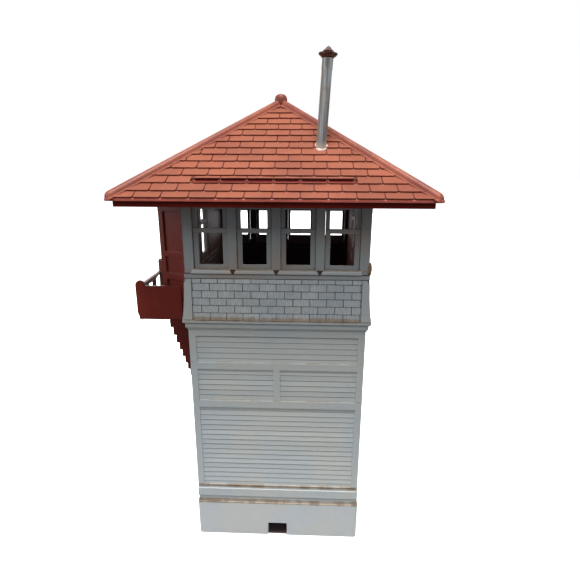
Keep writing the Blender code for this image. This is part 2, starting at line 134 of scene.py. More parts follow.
class Look:
    """A node material, with the small set of nodes that every finish here is made from."""

    def __init__(self, name):
        self.material = bpy.data.materials.new(name)
        self.material.use_nodes = True
        self.tree = self.material.node_tree
        self.shader = self.tree.nodes["Principled BSDF"]
        place = self.node("ShaderNodeTexCoord").outputs["Object"]
        self.here = self.node("ShaderNodeMapping", Vector=place, Scale=[1 / MM] * 3).outputs[0]
        split = self.node("ShaderNodeSeparateXYZ", Vector=self.here)
        self.x, self.y, self.z = split.outputs
        self.bumps = None

    def node(self, kind, settings=(), **inputs):
        made = self.tree.nodes.new(kind)
        for key, value in dict(settings).items():
            setattr(made, key, value)
        for key, value in inputs.items():
            self.feed(made.inputs[key.replace("_", " ")], value)
        return made

    def feed(self, socket, value):
        if isinstance(value, bpy.types.NodeSocket):
            self.tree.links.new(value, socket)
        else:
            socket.default_value = value

    def math(self, operation, first, second=0.0, third=0.0):
        made = self.tree.nodes.new("ShaderNodeMath")
        made.operation = operation
        for socket, value in zip(made.inputs, (first, second, third)):
            self.feed(socket, value)
        return made.outputs[0]

    def times(self, first, second):
        return self.math("MULTIPLY", first, second)

    def scaled(self, value, amount, start):
        """START, plus AMOUNT times VALUE."""
        return self.math("MULTIPLY_ADD", value, amount, start)

    def out(self):
        """The distance out from the tower's axis, taken along X or Y, whichever is larger."""
        across = self.math("ABSOLUTE", self.x)
        along = self.math("ABSOLUTE", self.math("SUBTRACT", self.y, TOWER_Y))
        return self.math("MAXIMUM", across, along)

    def step(self, value, low, high):
        """0 below LOW and 1 above HIGH, and smooth between them. LOW may be the larger."""
        made = self.node("ShaderNodeMapRange", {"interpolation_type": "SMOOTHSTEP"}, Value=value)
        made.inputs["From Min"].default_value = low
        made.inputs["From Max"].default_value = high
        return made.outputs["Result"]

    def band(self, value, middle, reach):
        """1 at MIDDLE, falling to 0 at REACH from it."""
        away = self.math("ABSOLUTE", self.math("SUBTRACT", value, middle))
        return self.step(away, reach, 0.0)

    def stretched(self, scale):
        return self.node("ShaderNodeMapping", Vector=self.here, Scale=scale).outputs[0]

    def noise(self, scale, detail=3.0, vector=None, roughness=0.55):
        made = self.node("ShaderNodeTexNoise", Vector=vector or self.here, Scale=scale, Detail=detail)
        made.inputs["Roughness"].default_value = roughness
        return made.outputs["Fac"]

    def mix(self, factor, first, second):
        made = self.tree.nodes.new("ShaderNodeMix")
        made.data_type = "RGBA"
        for socket, value in ((made.inputs[0], factor), (made.inputs[6], first), (made.inputs[7], second)):
            self.feed(socket, colour(value) if isinstance(value, tuple) else value)
        return made.outputs[2]

    def bright(self, tint, value):
        """TINT made brighter or darker by the factor VALUE."""
        made = self.tree.nodes.new("ShaderNodeVectorMath")
        made.operation = "SCALE"
        self.feed(made.inputs[0], tint)
        self.feed(made.inputs["Scale"], value)
        return made.outputs[0]

    def tone(self, amount):
        """A factor about 1 that differs from one moulded tile or shingle to the next."""
        made = self.tree.nodes.new("ShaderNodeAttribute")
        made.attribute_name = "tone"
        return self.scaled(made.outputs["Fac"], amount, 1.0)

    def crevice(self, reach):
        """1 deep in a corner and 0 on an open face. REACH is in millimetres."""
        made = self.node("ShaderNodeAmbientOcclusion", {"samples": 8}, Distance=reach * MM)
        return self.math("SUBTRACT", 1.0, made.outputs["AO"])

    def bump(self, height, depth):
        """Raises the surface by HEIGHT times DEPTH millimetres."""
        made = self.node("ShaderNodeBump", Height=height, Distance=depth * MM, Strength=1.0)
        if self.bumps:
            self.feed(made.inputs["Normal"], self.bumps)
        self.bumps = made.outputs[0]

    def finish(self, tint, roughness, **plain):
        self.feed(self.shader.inputs["Base Color"], tint)
        self.feed(self.shader.inputs["Roughness"], roughness)
        for key, value in plain.items():
            self.shader.inputs[key.replace("_", " ")].default_value = value
        if self.bumps:
            self.feed(self.shader.inputs["Normal"], self.bumps)
        return self.material


def grey_plastic(name, base, cool, ledges=(), dust_and_shade=1.0, grain=0.0, ground_light=0.0, courses=(), seams=()):
    """Weathered grey plastic, darker in its corners with dirt and painted shade, and the dark brown of the
    room where it faces inwards, with a painted pool of light and painted shade there. LEDGES are (height,
    reach, strength) of the lines where dirt has settled, darkened also as painted shade on their tops,
    GROUND_LIGHT is how much paler it is near the ground: painted light bounced up from the floor, COURSES
    is (height, pitch) of rows with grime and painted shade under each, and SEAMS are the heights of dark
    joints with painted shade along them."""
    look = Look(name)
    cloud = look.noise(0.06, 2.0)
    blotch = look.noise(0.5, 4.0)
    fine = look.noise(5.0, 3.0)
    tint = look.mix(look.step(cloud, 0.4, 0.62), base, cool)
    tint = look.bright(tint, look.scaled(blotch, 0.10, 0.95))
    tint = look.bright(tint, look.scaled(fine, 0.08, 0.96))
    tint = look.bright(tint, look.tone(0.05))
    # Paler towards the ground: painted light bounced up from the floor.
    if ground_light:
        tint = look.bright(tint, look.scaled(look.step(look.z, 52.0, 4.0), ground_light, 1.0))
    # Darker bands at each course's butt: grime, with painted shade under the butts.
    if courses:
        start, pitch = courses
        along = look.math("FRACT", look.math("DIVIDE", look.math("SUBTRACT", look.z, start), pitch))
        grime_and_shade = look.math("MAXIMUM", look.step(along, 0.1, 0.03), look.step(along, 0.9, 0.97))
        grime_and_shade = look.times(grime_and_shade, look.scaled(blotch, 0.7, 0.25))
        tint = look.mix(grime_and_shade, tint, COURSE_GRIME_AND_SHADE)
    # Dark lines at the joints, with painted shade along them.
    for height in seams:
        tint = look.mix(look.times(look.band(look.z, height, 0.24), 0.9), tint, DARK_JOINT_AND_SHADE)

    # Darker in corners and creases, found by ambient occlusion: dirt, with painted shade.
    corner = look.step(look.times(look.crevice(0.9), look.scaled(blotch, 1.0, 0.5)), 0.3, 0.8)
    tint = look.mix(look.times(corner, 0.7 * dust_and_shade), tint, DIRT_AND_SHADE)

    # Dirt settled along the ledges, made darker as painted shade on their lit tops.
    settled_and_shaded = None
    for height, reach, strength in ledges:
        line = look.times(look.band(look.z, height, reach), strength)
        settled_and_shaded = line if settled_and_shaded is None else look.math("MAXIMUM", settled_and_shaded, line)
    if settled_and_shaded is not None:
        patchy = look.step(look.noise(0.35, 5.0, look.stretched((1, 1, 0.4))), 0.40, 0.62)
        settled_and_shaded = look.times(settled_and_shaded, look.scaled(patchy, 0.55, 0.5))
        tint = look.mix(look.step(settled_and_shaded, 0.05, 0.5), tint, PALE_DIRT_AND_SHADE)
        tint = look.mix(look.times(look.step(settled_and_shaded, 0.6, 1.0), 0.6), tint, DIRT_AND_SHADE)

    specks = look.node("ShaderNodeTexVoronoi", Vector=look.here, Scale=0.33).outputs["Distance"]
    tint = look.mix(look.times(look.step(specks, 0.055, 0.03), 0.7 * dust_and_shade), tint, SPECK)

    # Faces inside the room are dark brown, with a painted pool of light towards x = 23 and painted shade,
    # near black, at the rear.
    indoors = look.step(look.out(), INSIDE_HALF + 0.3, INSIDE_HALF - 0.1)
    room = look.times(indoors, look.step(look.z, 72.0, 74.0))
    tint = look.mix(room, tint, look.mix(look.step(look.x, 20.0, 23.0), INSIDE, INSIDE_LIT))
    tint = look.mix(look.times(room, look.step(look.y, TOWER_Y + 20.0, TOWER_Y + 23.0)), tint, INSIDE_SHADE)

    if grain:
        lines = look.noise(1.0, 2.0, look.stretched((3.0, 3.0, 0.1)))
        look.bump(lines, 0.16 * grain)
        tint = look.bright(tint, look.scaled(lines, 0.5 * grain, 1.0 - 0.25 * grain))
    look.bump(fine, 0.012)
    look.bump(look.noise(0.8, 2.0), 0.05)
    rough = look.scaled(blotch, 0.16, 0.36)
    rough = look.math("MAXIMUM", rough, look.times(corner, 0.75))
    return look.finish(tint, rough, IOR=1.48)


def red_plastic(name, base, dark, roughness=0.34, tone=0.09, grime_and_shade=0.6, streak=0.0, dust=0.1, sheen=0.3,
                dark_above=None):
    """Glossy brown-red plastic with handled, faintly mottled faces, darker in its corners with grime and
    painted shade. It is darker above DARK_ABOVE: painted shade under the tiles.
    """
    look = Look(name)
    cloud = look.noise(0.09, 3.0)
    mottle = look.noise(1.4, 4.0, roughness=0.65)
    tint = look.mix(look.step(cloud, 0.36, 0.66), base, dark)
    tint = look.bright(tint, look.scaled(mottle, 0.16, 0.92))
    tint = look.bright(tint, look.tone(tone))
    # Darker in corners and creases, found by ambient occlusion: grime, with painted shade.
    corner = look.step(look.crevice(0.8), 0.35, 0.95)
    tint = look.mix(look.times(corner, grime_and_shade), tint, RED_GRIME_AND_SHADE)
    powder = look.step(look.noise(0.22, 6.0, roughness=0.7), 0.60, 0.74)
    tint = look.mix(look.times(powder, dust), tint, RED_POWDER)
    if streak:
        lines = look.noise(1.0, 3.0, look.stretched((1.2, 1.2, 0.08)))
        tint = look.bright(tint, look.scaled(lines, streak, 1.0 - streak / 2))
    # Painted shade on the roof shell under the tiles, which shows between them.
    if dark_above:
        tint = look.mix(look.step(look.z, dark_above, dark_above + 0.1), tint, UNDER_TILES_SHADE)
    look.bump(mottle, 0.03)
    look.bump(look.noise(6.0, 2.0), 0.008)
    rough = look.scaled(mottle, 0.2, roughness - 0.1)
    return look.finish(tint, rough, IOR=1.5, Specular_IOR_Level=sheen)


def pipe_plastic():
    look = Look("pipe_grey")
    streaks = look.noise(1.0, 3.0, look.stretched((1.6, 1.6, 0.05)))
    tint = look.mix(look.step(streaks, 0.36, 0.6), (168, 180, 186), (120, 116, 106))
    smear = look.noise(0.4, 5.0, roughness=0.7)
    tint = look.mix(look.times(look.step(smear, 0.5, 0.66), 0.45), tint, (142, 112, 96))
    tint = look.mix(look.times(look.step(look.z, 121.8, 119.6), 0.8), tint, (206, 196, 186))
    look.bump(smear, 0.06)
    look.bump(look.noise(4.0, 2.0), 0.012)
    return look.finish(tint, look.scaled(smear, 0.3, 0.24), IOR=1.48)


def cap_plastic():
    look = Look("pipe_cap_brown")
    worn = look.noise(1.3, 5.0, roughness=0.7)
    tint = look.mix(look.step(worn, 0.42, 0.62), SOOT, (104, 62, 52))
    tint = look.mix(look.times(look.step(look.noise(2.6, 3.0), 0.58, 0.7), 0.6), tint, (190, 184, 178))
    look.bump(worn, 0.08)
    return look.finish(tint, look.scaled(worn, 0.3, 0.25), IOR=1.5)


def lumpy(name, size, turn, tints, depth, rough, **plain):
    """Something that was soft once. SIZE is the scale of its lumps, TURN the two levels between which the
    first of its TINTS becomes the second, and ROUGH is (amount, start) of the roughness."""
    look = Look(name)
    lumps = look.noise(size, 4.0)
    tint = look.mix(look.step(lumps, *turn), *tints)
    look.bump(lumps, depth)
    return look.finish(tint, look.scaled(lumps, *rough), **plain)


def floor_look():
    """A floor that gives off its own light evenly, with a painted shadow under the building, where it is dark
    and gives off none.
    """
    look = Look("pale_floor")
    tint = look.mix(look.noise(0.02, 3.0), (243, 243, 242), (248, 248, 248))
    # Painted shadow: the floor is dark and gives off no light inside the building's footprint.
    lit = look.step(look.out(), HALF - 0.6, HALF + 0.4)
    look.feed(look.shader.inputs["Emission Color"], look.bright(tint, lit))
    return look.finish(look.mix(lit, (66, 54, 52), tint), 0.7, Emission_Strength=1.0)


WALL_LEDGES = ((18.3, 0.9, 1.0), (12.9, 0.8, 0.7), (48.6, 0.5, 0.35), (60.8, 0.5, 0.3))
wall_grey = grey_plastic("wall_grey", GREY, GREY_COOL, WALL_LEDGES, 0.8, ground_light=0.25)
plinth_grey = grey_plastic(
    "plinth_grey", (188, 190, 188), (184, 189, 193), ((12.35, 0.75, 1.0),), 0.7, ground_light=0.3,
)
skirt_grey = grey_plastic(
    "skirt_grey", (180, 184, 185), (170, 178, 183), ((74.2, 1.5, 0.8),), 1.1, 1.0,
    courses=(SKIRT_LOW.z, SHINGLE_ROW),
)
belt_grey = grey_plastic("belt_grey", GREY, GREY_COOL, ((74.0, 0.5, 0.75), (72.9, 0.3, 0.3)))
# The wall grey made darker and browner: painted shade of the eaves over the upper storey.
upper_grey_shaded = grey_plastic(
    "upper_grey_shaded", (156, 148, 142), (154, 158, 160), ((88.2, 0.7, 0.5),), 1.3, seams=LEDGE_JOINTS,
)
sill_grey = grey_plastic(
    "sill_grey", (184, 178, 172), (178, 184, 188), ((88.45, 0.3, 0.8),), 1.2, seams=LEDGE_JOINTS[1:],
)
tile_red = red_plastic("tile_red", TILE_RED, (120, 65, 48), 0.6, tone=0.07, grime_and_shade=0.9, dust=0.05, sheen=0.2)
hip_red = red_plastic("hip_red", (132, 70, 50), (108, 52, 40), 0.5, grime_and_shade=0.3, sheen=0.25)
eave_red = red_plastic("eave_red", (176, 90, 78), (160, 80, 70), 0.5, grime_and_shade=0.3, sheen=0.2, dark_above=EAVE)
fascia_red = red_plastic("fascia_red", (118, 30, 20), (104, 26, 18), 0.45, grime_and_shade=0.3, dust=0.0, sheen=0.15)
# Much darker than the tile red: painted shade in the slot.
slot_red_shaded = red_plastic("slot_red_shaded", (84, 9, 8), (72, 8, 7), 0.6, grime_and_shade=0.3, dust=0.0, sheen=0.1)
stair_red = red_plastic("stair_red", (122, 42, 32), (108, 38, 30), 0.36, grime_and_shade=0.5, streak=0.1, dust=0.04)
rail_brown = red_plastic("rail_brown", (116, 72, 62), (92, 48, 42), 0.4, grime_and_shade=0.5)
floor_brown = red_plastic("floor_brown", (60, 28, 26), (50, 24, 22), 0.6, dust=0.0)
pipe_grey = pipe_plastic()
cap_brown = cap_plastic()
old_glue = lumpy("old_glue", 1.6, (0.4, 0.65), (GLUE, (98, 72, 56)), 0.12, (0.3, 0.3), IOR=1.5)
pale_glue = lumpy(
    "pale_glue", 1.2, (0.4, 0.65), ((190, 176, 166), (166, 120, 104)), 0.1, (0.3, 0.2), IOR=1.5,
)
dark_wedge_fill = lumpy(
    "dark_wedge_fill", 1.8, (0.35, 0.65), ((58, 40, 36), (86, 66, 58)), 0.15, (0.2, 0.6), Specular_IOR_Level=0.3,
)


# ---------------------------------------------------------------- shapes


def side_matrix(side):
    """From one side's own frame, with X along it and -Y out, to the row frame."""
    turn = Matrix.Rotation(SIDES.index(side) * math.pi / 2, 4, "Z")
    return Matrix.Translation((0, TOWER_Y, 0)) @ turn


class Piece:
    """Closed solids in millimetres that become one object."""

    def __init__(self, name, matrix=None):
        self.name = name
        self.matrix = matrix or Matrix.Translation((0, TOWER_Y, 0))
        self.bm = bmesh.new()
        self.tone = self.bm.verts.layers.float.new("tone")

    def loft(self, loops, tone=0.0, closed=False):
        """A solid through loops of equal length. CLOSED joins the last loop to the first."""
        rings = [[self.bm.verts.new(p) for p in loop] for loop in loops]
        for vert in (v for ring in rings for v in ring):
            vert[self.tone] = tone
        pairs = list(zip(rings, rings[1:]))
        if closed:
            pairs.append((rings[-1], rings[0]))
        else:
            self.bm.faces.new(rings[0][::-1])
            self.bm.faces.new(rings[-1])
        for low, high in pairs:
            for i in range(len(low)):
                j = (i + 1) % len(low)
                self.bm.faces.new((low[i], low[j], high[j], high[i]))

    def run(self, profile, left=None, right=None, tone=0.0):
        """A moulding of (out, height) points along one side. An end is a position, or None for a mitre."""
        ends = []
        for sign, end in ((-1, left), (1, right)):
            ends.append([(sign * (out - SEAM) if end is None else end, -out, z) for out, z in profile])
        self.loft(ends, tone)

    def ring(self, profile):
        """A moulding of (out, height) points that goes all round the tower without a seam."""
        corners = ((-1, -1), (1, -1), (1, 1), (-1, 1))
        self.loft([[(out * x, out * y, z) for out, z in profile] for x, y in corners], closed=True)

    def grid(self, xs, outs, zs, solid):
        """The blocks (i, k) of a grid for which SOLID is true, as one solid with no inner faces. The ends
        of the first and the last column are mitred."""
        made = {}

        def corner(i, j, k):
            if (i, j, k) not in made:
                x = xs[i]
                if i in (0, len(xs) - 1):
                    x = math.copysign(outs[j] - SEAM, x)
                made[i, j, k] = self.bm.verts.new((x, -outs[j], zs[k]))
            return made[i, j, k]

        def filled(i, k):
            return 0 <= i < len(xs) - 1 and 0 <= k < len(zs) - 1 and solid(i, k)

        for i in range(len(xs) - 1):
            for k in range(len(zs) - 1):
                if not filled(i, k):
                    continue
                for j in (0, 1):
                    self.bm.faces.new([corner(i + a, j, k + b) for a, b in ((0, 0), (1, 0), (1, 1), (0, 1))])
                walls = (
                    (-1, 0, (0, 0), (0, 1)),
                    (1, 0, (1, 0), (1, 1)),
                    (0, -1, (0, 0), (1, 0)),
                    (0, 1, (0, 1), (1, 1)),
                )
                for di, dk, a, b in walls:
                    if not filled(i + di, k + dk):
                        loop = [corner(i + p[0], j, k + p[1]) for p, j in ((a, 0), (b, 0), (b, 1), (a, 1))]
                        self.bm.faces.new(loop)

    def done(self, body, look, nodes=(), bevel=0.0, segments=2, smooth=False, angle=30):
        """Makes the object, fixes it to BODY and puts it in the place of the CAD NODES."""
        bmesh.ops.recalc_face_normals(self.bm, faces=self.bm.faces)
        bmesh.ops.transform(self.bm, matrix=Matrix.Scale(MM, 4) @ self.matrix, verts=self.bm.verts)
        mesh = bpy.data.meshes.new(self.name)
        self.bm.to_mesh(mesh)
        self.bm.free()
        made = bpy.data.objects.new(self.name, mesh)
        bpy.context.scene.collection.objects.link(made)
        mesh.materials.append(look)
        for polygon in mesh.polygons:
            polygon.use_smooth = smooth
        if bevel:
            soften(made, bevel, segments, angle)
        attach(made, body)
        if nodes:
            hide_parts(*nodes)
        return made


def soften(obj, width, segments=2, angle=30):
    """Rounds the sharp edges, as a mould does."""
    bevel = obj.modifiers.new("soft_edges", "BEVEL")
    bevel.width = width * MM
    bevel.segments = segments
    bevel.limit_method = "ANGLE"
    bevel.angle_limit = math.radians(angle)
    bevel.use_clamp_overlap = True


def dress(node, look, bevel=0.0):
    """A CAD node that keeps its shape: its material, and edges as round as the mould leaves them."""
    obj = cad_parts[node]
    obj.data.materials.clear()
    obj.data.materials.append(look)
    if bevel:
        weld = obj.modifiers.new("one_skin", "WELD")
        weld.merge_threshold = 0.002 * MM
        soften(obj, bevel)
        obj.modifiers.new("even_light", "WEIGHTED_NORMAL")


def lower_wall(side):
    """Clapboards behind a frame that is raised round four panels, above a base board."""
    piece = Piece(side + "_wall_moulding", side_matrix(side))
    bottom, top = WALL_LOW.z, WALL_HIGH.z
    back, end = HALF - 0.9, STILE + 0.6
    piece.run(((INSIDE_HALF, bottom), (HALF - 0.46, bottom), (HALF - 0.46, top), (INSIDE_HALF, top)))
    row = 0
    while CLAP_TOP - row * CLAP > PANEL_LEVELS[0] - CLAP:
        low = CLAP_TOP - row * CLAP
        high = min(low + CLAP - 0.09, PANEL_LEVELS[-1] + 1.0)
        face = HALF - 0.24 + dice.uniform(-0.012, 0.012)
        profile = ((back, low), (face, low), (HALF - 0.36, high), (back, high))
        piece.run(profile, -end, end, dice.uniform(-1, 1))
        row += 1
    low = CLAP_TOP + CLAP
    piece.run(((back, low), (HALF - 0.26, low + 0.02), (HALF - 0.4, 70.0), (back, 70.0)), -end, end)
    xs = (-HALF, -STILE, -1.0, 1.0, STILE, HALF)
    zs = (17.0, *PANEL_LEVELS, top)

    def solid(i, k):
        return i in (0, 4) or k in (0, 2, 4, 6) or (k == 3 and i == 2)

    piece.grid(xs, (HALF - 0.75, HALF), zs, solid)
    base = (
        (back, bottom), (HALF - 0.12, bottom), (HALF - 0.12, 14.1), (HALF + 0.12, 14.4),
        (HALF + 0.12, 17.15), (HALF - 0.02, 17.35), (HALF - 0.5, 18.75), (back, 18.75),
    )
    piece.run(base)
    piece.done("tower", wall_grey, [side + "_wall"], bevel=0.07)


def belt():
    piece = Piece("belt_moulding")
    out = BELT_HIGH.x
    inner = INSIDE_HALF
    bottom, top = BELT_LOW.z, BELT_HIGH.z
    piece.ring((
        (inner, bottom), (out - 1.0, bottom), (out - 0.95, bottom + 0.45), (out - 0.6, bottom + 0.6),
        (out - 0.6, bottom + 1.75), (out - 0.45, bottom + 1.95), (out - 0.1, bottom + 2.15),
        (out, bottom + 2.3), (out, top - 0.12), (out - 0.15, top), (inner, top),
    ))
    piece.done("tower", belt_grey, ["belt_cornice"], bevel=0.05)


def flare(z):
    """How far out the skirt's face is at a height."""
    points = ((74.1, 26.0), (75.6, 25.75), (77.8, 25.5), (81.0, 25.3), (85.8, 25.1))
    for (z0, out0), (z1, out1) in zip(points, points[1:]):
        if z <= z1:
            return out0 + (out1 - out0) * (z - z0) / (z1 - z0)
    return points[-1][1]


def skirt(name, side, left, right, node):
    """Courses of shingles between corner boards. An end is a position, or None for the tower's corner."""
    piece = Piece(name, side_matrix(side))
    bottom, top = SKIRT_LOW.z, SKIRT_HIGH.z
    heights = [bottom + (top - bottom) * n / 8 for n in range(9)]
    profile = [(INSIDE_HALF, top), (INSIDE_HALF, bottom)] + [(flare(z) - 0.22, z) for z in heights]
    piece.run(profile, left, right)
    low_x = -CORNER_BOARD if left is None else left
    high_x = CORNER_BOARD if right is None else right
    for row in range(SHINGLE_ROWS):
        low = bottom + row * SHINGLE_ROW
        high = min(low + SHINGLE_ROW + 0.1, top)
        start = -SHINGLES_EACH_WAY * SHINGLE + (row % 2) * SHINGLE / 2
        for n in range(2 * SHINGLES_EACH_WAY + 1):
            a = max(start + n * SHINGLE + 0.1 + dice.uniform(-0.03, 0.03), low_x + 0.18)
            b = min(start + (n + 1) * SHINGLE - 0.1 + dice.uniform(-0.03, 0.03), high_x - 0.18)
            if b - a < 0.3:
                continue
            butt = low + dice.uniform(-0.04, 0.04)
            proud = 0.22 + dice.uniform(-0.03, 0.04)
            outline = ((flare(low) - 0.3, low), (flare(low) + proud, butt), (flare(high), high),
                       (flare(high) - 0.3, high))
            ends = [[(x, -out, max(z, bottom)) for out, z in outline] for x in (a, b)]
            piece.loft(ends, dice.uniform(-1, 1))
    boards = Piece(name + "_boards", side_matrix(side))
    for sign, end in ((-1, left), (1, right)):
        if end is not None:
            continue
        loops = []
        for z in heights:
            out = flare(z) + 0.16
            edge = out - SEAM - 0.7 * max(0.0, (z - top + 0.8) / 0.8)
            loops.append([(sign * CORNER_BOARD, -out, z), (sign * edge, -out, z),
                          (sign * (edge - 1.2), -out + 1.2, z), (sign * CORNER_BOARD, -out + 1.2, z)])
        boards.loft(loops)
    boards.done("tower", belt_grey, bevel=0.06)
    piece.done("tower", skirt_grey, [node], bevel=0.045, segments=1)


def sills(side, middles):
    """The sill blocks under the windows. Their ends slant, so a wedge is left open in front of each post
    between two windows, and a dark brown filler sits in it."""
    piece = Piece(side + "_sills", side_matrix(side))
    for middle in middles:
        loops = []
        for sign in (-1, 1):
            low, high = middle + sign * 5.62, middle + sign * 5.15
            loops.append([(low, -24.3, 87.14), (low, -25.62, 87.14), ((low + 2 * high) / 3, -25.62, 87.95),
                          (high, -25.5, 88.12), (high, -24.3, 88.5)])
        piece.loft(loops, dice.uniform(-1, 1))
    piece.done("tower", sill_grey, bevel=0.06)
    if len(middles) == 1:
        return

    gaps = Piece(side + "_sill_gaps", side_matrix(side))
    for left, right in zip(middles, middles[1:]):
        post = (left + right) / 2
        loops = []
        for half, z in ((0.12, 87.1), (0.3, 87.5), (0.74, 88.0), (0.8, 88.3)):
            loops.append([(post - half, -25.66 + 0.12 * half, z), (post + half, -25.66 + 0.12 * half, z),
                          (post + half, -24.9, z), (post - half, -24.9, z)])
        gaps.loft(loops)
    gaps.done("tower", dark_wedge_fill, bevel=0.05)


def clipped(shape, keep):
    """The part of a convex outline where KEEP is not negative. KEEP is linear in the point."""
    made = []
    for p, q in zip(shape, shape[1:] + shape[:1]):
        a, b = keep(p), keep(q)
        if a >= 0:
            made.append(p)
        if a * b < 0:
            t = a / (a - b)
            made.append((p[0] + (q[0] - p[0]) * t, p[1] + (q[1] - p[1]) * t))
    return made


def area(shape):
    return abs(sum(p[0] * q[1] - q[0] * p[1] for p, q in zip(shape, shape[1:] + shape[:1]))) / 2


def on_roof(u, v, rise):
    """The point U along the eave and V up the slope, RISE above the roof's plane."""
    out = ROOF_HALF - v * math.cos(ROOF_ANGLE) + rise * math.sin(ROOF_ANGLE)
    return (u, -out, EAVE + v * math.sin(ROOF_ANGLE) + rise * math.cos(ROOF_ANGLE))


def tile_outline(left, right, low, high):
    """A tile with its two lower corners rounded."""
    r = 0.42
    turn = [(r - r * math.cos(a), r - r * math.sin(a)) for a in (0, math.pi / 6, math.pi / 3, math.pi / 2)]
    outline = [(left + x, low + y) for x, y in turn]
    outline += [(right - x, low + y) for x, y in reversed(turn)]
    return outline + [(right, high), (left, high)]


def between_hips(outline):
    """The part of a tile that lies between the two hip rolls of its slope."""
    for sign in (-1, 1):
        outline = clipped(
            outline, lambda p: ROOF_HALF - HIP_CLEARANCE - p[1] * math.cos(ROOF_ANGLE) - sign * p[0],
        )
    return outline


def beside_slot(outline):
    """The parts of a tile that the slot leaves: beyond its two ends, below it and above it."""
    inner = clipped(clipped(outline, lambda p: p[0] + SLOT_HALF), lambda p: SLOT_HALF - p[0])
    return [
        clipped(outline, lambda p: -SLOT_HALF - p[0]),
        clipped(outline, lambda p: p[0] - SLOT_HALF),
        clipped(inner, lambda p: SLOT_UP - SLOT_BELOW - p[1]),
        clipped(inner, lambda p: p[1] - SLOT_UP - SLOT_ABOVE),
    ]


def tiles(side):
    piece = Piece(side + "_roof_tiles", side_matrix(side))
    slope_length = ROOF_HALF / math.cos(ROOF_ANGLE)
    row = 0
    while TILE_START + row * TILE_ROW < slope_length - 1.2:
        low = max(TILE_START + row * TILE_ROW, 0.12)
        high = TILE_START + (row + 1) * TILE_ROW + 0.12
        shift = 0.0 if row % 2 == 0 else TILE / 2
        for n in range(-7, 8):
            left = n * TILE + shift + 0.13 + dice.uniform(-0.03, 0.03)
            right = left + TILE - 0.26
            tone = dice.uniform(-1, 1)
            butt = low + (dice.uniform(-0.05, 0.05) if row else 0)
            outline = between_hips(tile_outline(left, right, butt, high))
            slotted = side == "front" and row == SLOT_ROW
            for part in beside_slot(outline) if slotted else [outline]:
                if len(part) < 3 or area(part) < 0.15:
                    continue
                lift = dice.uniform(-0.015, 0.015)
                rises = [0.44 - 0.38 * (v - low) / (high - low) + lift for u, v in part]
                bottom = [on_roof(u, v, -0.2) for u, v in part]
                top = [on_roof(u, v, h) for (u, v), h in zip(part, rises)]
                piece.loft([bottom, top], tone)
        row += 1
    piece.done("roof", tile_red, bevel=0.05, segments=1)


def slot_trim():
    """The raised strips along the two edges of the slot, and the webs that cross it at the tile joints."""
    matrix = side_matrix("front")
    trim = Piece("roof_slot_trim", matrix)
    joints = [n * TILE for n in range(-3, 4)]
    edges = [-SLOT_HALF, *joints, SLOT_HALF]

    def slab(piece, outline, low, high, tone=0.0):
        piece.loft([[on_roof(u, v, h) for u, v in outline] for h in (low, high)], tone)

    for a, b in zip(edges, edges[1:]):
        if b - a < 1:
            continue
        for low, high, rise in ((-1.4, -1.14, 0.12), (0.56, 1.08, 0.2)):
            a0, b0 = a + 0.12, b - 0.12
            outline = ((a0, SLOT_UP + low), (b0, SLOT_UP + low), (b0, SLOT_UP + high), (a0, SLOT_UP + high))
            slab(trim, outline, -0.2, rise, dice.uniform(-1, 1))
    for j in joints:
        for sign in (-1, 1):
            foot, tip = j + sign * 0.5, j + sign * 0.08
            outline = ((foot - 0.12, SLOT_UP - 1.15), (foot + 0.12, SLOT_UP - 1.15),
                       (tip + 0.08, SLOT_UP + 0.1), (tip - 0.08, SLOT_UP + 0.1))
            slab(trim, outline, -0.5, 0.06)
    trim.done("roof", tile_red, bevel=0.06)

    # The slot's floor, and the strip below it, in that darker red: painted shade in the slot.
    floor = Piece("roof_slot_floor", matrix)
    x, low, high = SLOT_HALF - 0.05, SLOT_UP - 0.48, SLOT_UP + 0.48
    slab(floor, ((-x, low), (x, low), (x, high), (-x, high)), -0.62, -0.42)
    low, high = SLOT_UP - 1.16, SLOT_UP - 0.5
    slab(floor, ((-x, low), (x, low), (x, high), (-x, high)), -0.2, 0.02)
    floor.done("roof", slot_red_shaded)


def hip_roll(hip, sign_x, sign_y):
    """A half-round roll along a hip, with a narrow flange and a closed nose at the eave. A station is
    (distance from the apex, size, how much lower it sits)."""
    along = Vector((sign_x, sign_y)).normalized()
    across = Vector((-along.y, along.x))
    drop = math.tan(ROOF_ANGLE) / math.sqrt(2)
    section = [(-1.7, -0.62), (1.7, -0.62), (1.7, -0.34), (1.16, -0.1)]
    arc = [math.pi * n / 12 for n in range(1, 12)]
    section += [(1.1 * math.cos(a), -0.02 + 1.2 * math.sin(a)) for a in arc]
    section += [(-1.16, -0.1), (-1.7, -0.34)]
    tip = ROOF_HALF * math.sqrt(2) - 0.35
    stations = (
        (tip, 0.55, 0.1), (tip - 0.12, 0.8, 0.05), (tip - 0.4, 0.95, 0.0), (tip - 0.8, 1.0, 0.0),
        (1.6, 1.0, 0.0),
    )
    piece = Piece(hip + "_roll")
    loops = []
    for distance, size, sink in stations:
        ridge = APEX - drop * distance - sink
        loop = []
        for side, height in section:
            plan = along * distance + across * side * size
            raised = height * size if height > 0 else height
            loop.append((plan.x, plan.y, ridge + raised))
        loops.append(loop)
    piece.loft(loops)
    made = piece.done("roof", hip_red, ["hip_cap_" + hip], smooth=True)
    for polygon in made.data.polygons:
        if len(polygon.vertices) > 4:
            polygon.use_smooth = False
    edge = made.modifiers.new("crisp_flange", "EDGE_SPLIT")
    edge.split_angle = math.radians(40)


def turned(piece, profile, place, steps=32):
    """A round solid from (radius, height) points. Its ends are flat discs."""
    loops = []
    for radius, height in profile:
        angles = [2 * math.pi * n / steps for n in range(steps)]
        loops.append([place @ Vector((radius * math.cos(a), radius * math.sin(a), height)) for a in angles])
    piece.loft(loops)


